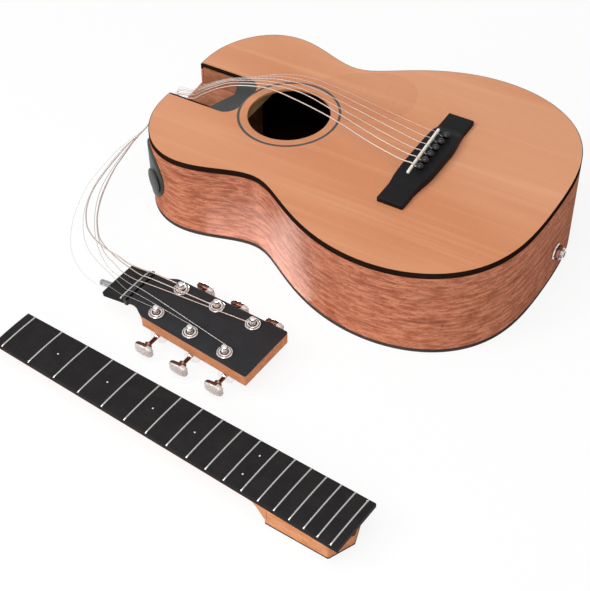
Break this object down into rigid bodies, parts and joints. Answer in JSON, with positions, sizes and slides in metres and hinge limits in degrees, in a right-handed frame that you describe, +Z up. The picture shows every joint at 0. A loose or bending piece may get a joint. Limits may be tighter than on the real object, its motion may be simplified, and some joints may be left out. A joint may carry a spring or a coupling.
{
  "type": "travel guitar",
  "caption": "Small-bodied steel-string guitar taken apart into body, neck and headstock, its loose strings still running from the bridge to the tuning posts.",
  "frame": {"origin": "on the flat back, under the middle of the body's length and width", "axes": "+Z up through the top, +Y toward the body's neck end, +X toward the treble side"},
  "size_m": [0.5172, 0.448, 0.1135],
  "materials": {
    "cedar_top": "satin lacquered cedar",
    "mahogany_gloss": "gloss lacquered mahogany",
    "neck_wood": "satin lacquered mahogany",
    "inner_wood": "bare spruce",
    "ebony": "oiled ebony",
    "dark_binding": "satin near-black",
    "bone": "polished off-white",
    "black_plastic": "satin black",
    "clear_guard": "clear gloss film",
    "chrome": "polished",
    "fret_steel": "polished",
    "plain_string": "drawn wire",
    "wound_string": "phosphor bronze winding"
  },
  "bodies": {
    "guitar": {"soundboard": "cedar_top", "rosette": "dark_binding", "back": "mahogany_gloss", "rim_treble": "mahogany_gloss", "rim_bass": "mahogany_gloss", "top_binding": "dark_binding", "back_binding": "dark_binding", "top_lining_treble": "inner_wood", "top_lining_bass": "inner_wood", "neck_block": "mahogany_gloss", "pocket_plate": "black_plastic", "tail_block": "mahogany_gloss", "x_brace": "inner_wood", "bridge_plate": "inner_wood", "back_braces": "inner_wood", "bridge": "ebony", "saddle": "bone", "bridge_pin_1": "black_plastic", "bridge_pin_2": "black_plastic", "bridge_pin_3": "black_plastic", "bridge_pin_4": "black_plastic", "bridge_pin_5": "black_plastic", "bridge_pin_6": "black_plastic", "pickguard": "clear_guard", "preamp_panel": "black_plastic", "output_jack": "chrome", "fretboard": "ebony", "neck": "neck_wood", "heel_cap": "dark_binding", "headplate": "black_plastic", "headstock": "neck_wood", "stub_fretboard": "ebony", "zero_fret": "fret_steel", "nut": "black_plastic", "dowel_rod": "fret_steel", "tuner_housing_1": "chrome", "tuner_housing_2": "chrome", "tuner_housing_3": "chrome", "tuner_housing_4": "chrome", "tuner_housing_5": "chrome", "tuner_housing_6": "chrome", "string_low_e": "wound_string", "string_a": "wound_string", "string_d": "wound_string", "string_g": "plain_string", "string_b": "plain_string", "string_high_e": "plain_string"},
    "preamp_knob": {"preamp_knob": "black_plastic"},
    "tuner_post_1": {"tuner_post_1": "chrome"},
    "tuner_knob_1": {"tuner_knob_1": "chrome"},
    "tuner_post_2": {"tuner_post_2": "chrome"},
    "tuner_knob_2": {"tuner_knob_2": "chrome"},
    "tuner_post_3": {"tuner_post_3": "chrome"},
    "tuner_knob_3": {"tuner_knob_3": "chrome"},
    "tuner_post_4": {"tuner_post_4": "chrome"},
    "tuner_knob_4": {"tuner_knob_4": "chrome"},
    "tuner_post_5": {"tuner_post_5": "chrome"},
    "tuner_knob_5": {"tuner_knob_5": "chrome"},
    "tuner_post_6": {"tuner_post_6": "chrome"},
    "tuner_knob_6": {"tuner_knob_6": "chrome"}
  },
  "joints": [
    {"name": "preamp_knob_turn", "type": "hinge", "parent": "guitar", "child": "preamp_knob", "pos_m": [-0.10341, 0.16791, 0.043], "axis": [-0.8488, 0.5287, 0], "range_deg": [0, 270]},
    {"name": "tuner_knob_1_turn", "type": "hinge", "parent": "guitar", "child": "tuner_knob_1", "pos_m": [-0.17696, 0.06172, 0.0104], "axis": [0.998, -0.0628, 0], "continuous": true},
    {"name": "tuner_post_1_turn", "type": "hinge", "parent": "guitar", "child": "tuner_post_1", "pos_m": [-0.20397, 0.06923, 0.03], "axis": [0, 0, 1], "continuous": true},
    {"name": "tuner_knob_2_turn", "type": "hinge", "parent": "guitar", "child": "tuner_knob_2", "pos_m": [-0.17946, 0.0221, 0.0104], "axis": [0.998, -0.0628, 0], "continuous": true},
    {"name": "tuner_post_2_turn", "type": "hinge", "parent": "guitar", "child": "tuner_post_2", "pos_m": [-0.20512, 0.02953, 0.03], "axis": [0, 0, 1], "continuous": true},
    {"name": "tuner_knob_3_turn", "type": "hinge", "parent": "guitar", "child": "tuner_knob_3", "pos_m": [-0.18195, -0.01752, 0.0104], "axis": [0.998, -0.0628, 0], "continuous": true},
    {"name": "tuner_post_3_turn", "type": "hinge", "parent": "guitar", "child": "tuner_post_3", "pos_m": [-0.20628, -0.01018, 0.03], "axis": [0, 0, 1], "continuous": true},
    {"name": "tuner_knob_4_turn", "type": "hinge", "parent": "guitar", "child": "tuner_knob_4", "pos_m": [-0.26778, 0.06744, 0.0104], "axis": [0.998, -0.0628, 0], "continuous": true},
    {"name": "tuner_post_4_turn", "type": "hinge", "parent": "guitar", "child": "tuner_post_4", "pos_m": [-0.24005, 0.0715, 0.03], "axis": [0, 0, 1], "continuous": true},
    {"name": "tuner_knob_5_turn", "type": "hinge", "parent": "guitar", "child": "tuner_knob_5", "pos_m": [-0.27028, 0.02782, 0.0104], "axis": [0.998, -0.0628, 0], "continuous": true},
    {"name": "tuner_post_5_turn", "type": "hinge", "parent": "guitar", "child": "tuner_post_5", "pos_m": [-0.24388, 0.03197, 0.03], "axis": [0, 0, 1], "continuous": true},
    {"name": "tuner_knob_6_turn", "type": "hinge", "parent": "guitar", "child": "tuner_knob_6", "pos_m": [-0.27277, -0.0118, 0.0104], "axis": [0.998, -0.0628, 0], "continuous": true},
    {"name": "tuner_post_6_turn", "type": "hinge", "parent": "guitar", "child": "tuner_post_6", "pos_m": [-0.24771, -0.00757, 0.03], "axis": [0, 0, 1], "continuous": true}
  ],
  "couplings": [
    {"joint": "tuner_post_1_turn", "follows": "tuner_knob_1_turn", "ratio": 0.066667},
    {"joint": "tuner_post_2_turn", "follows": "tuner_knob_2_turn", "ratio": 0.066667},
    {"joint": "tuner_post_3_turn", "follows": "tuner_knob_3_turn", "ratio": 0.066667},
    {"joint": "tuner_post_4_turn", "follows": "tuner_knob_4_turn", "ratio": -0.066667},
    {"joint": "tuner_post_5_turn", "follows": "tuner_knob_5_turn", "ratio": -0.066667},
    {"joint": "tuner_post_6_turn", "follows": "tuner_knob_6_turn", "ratio": -0.066667}
  ]
}
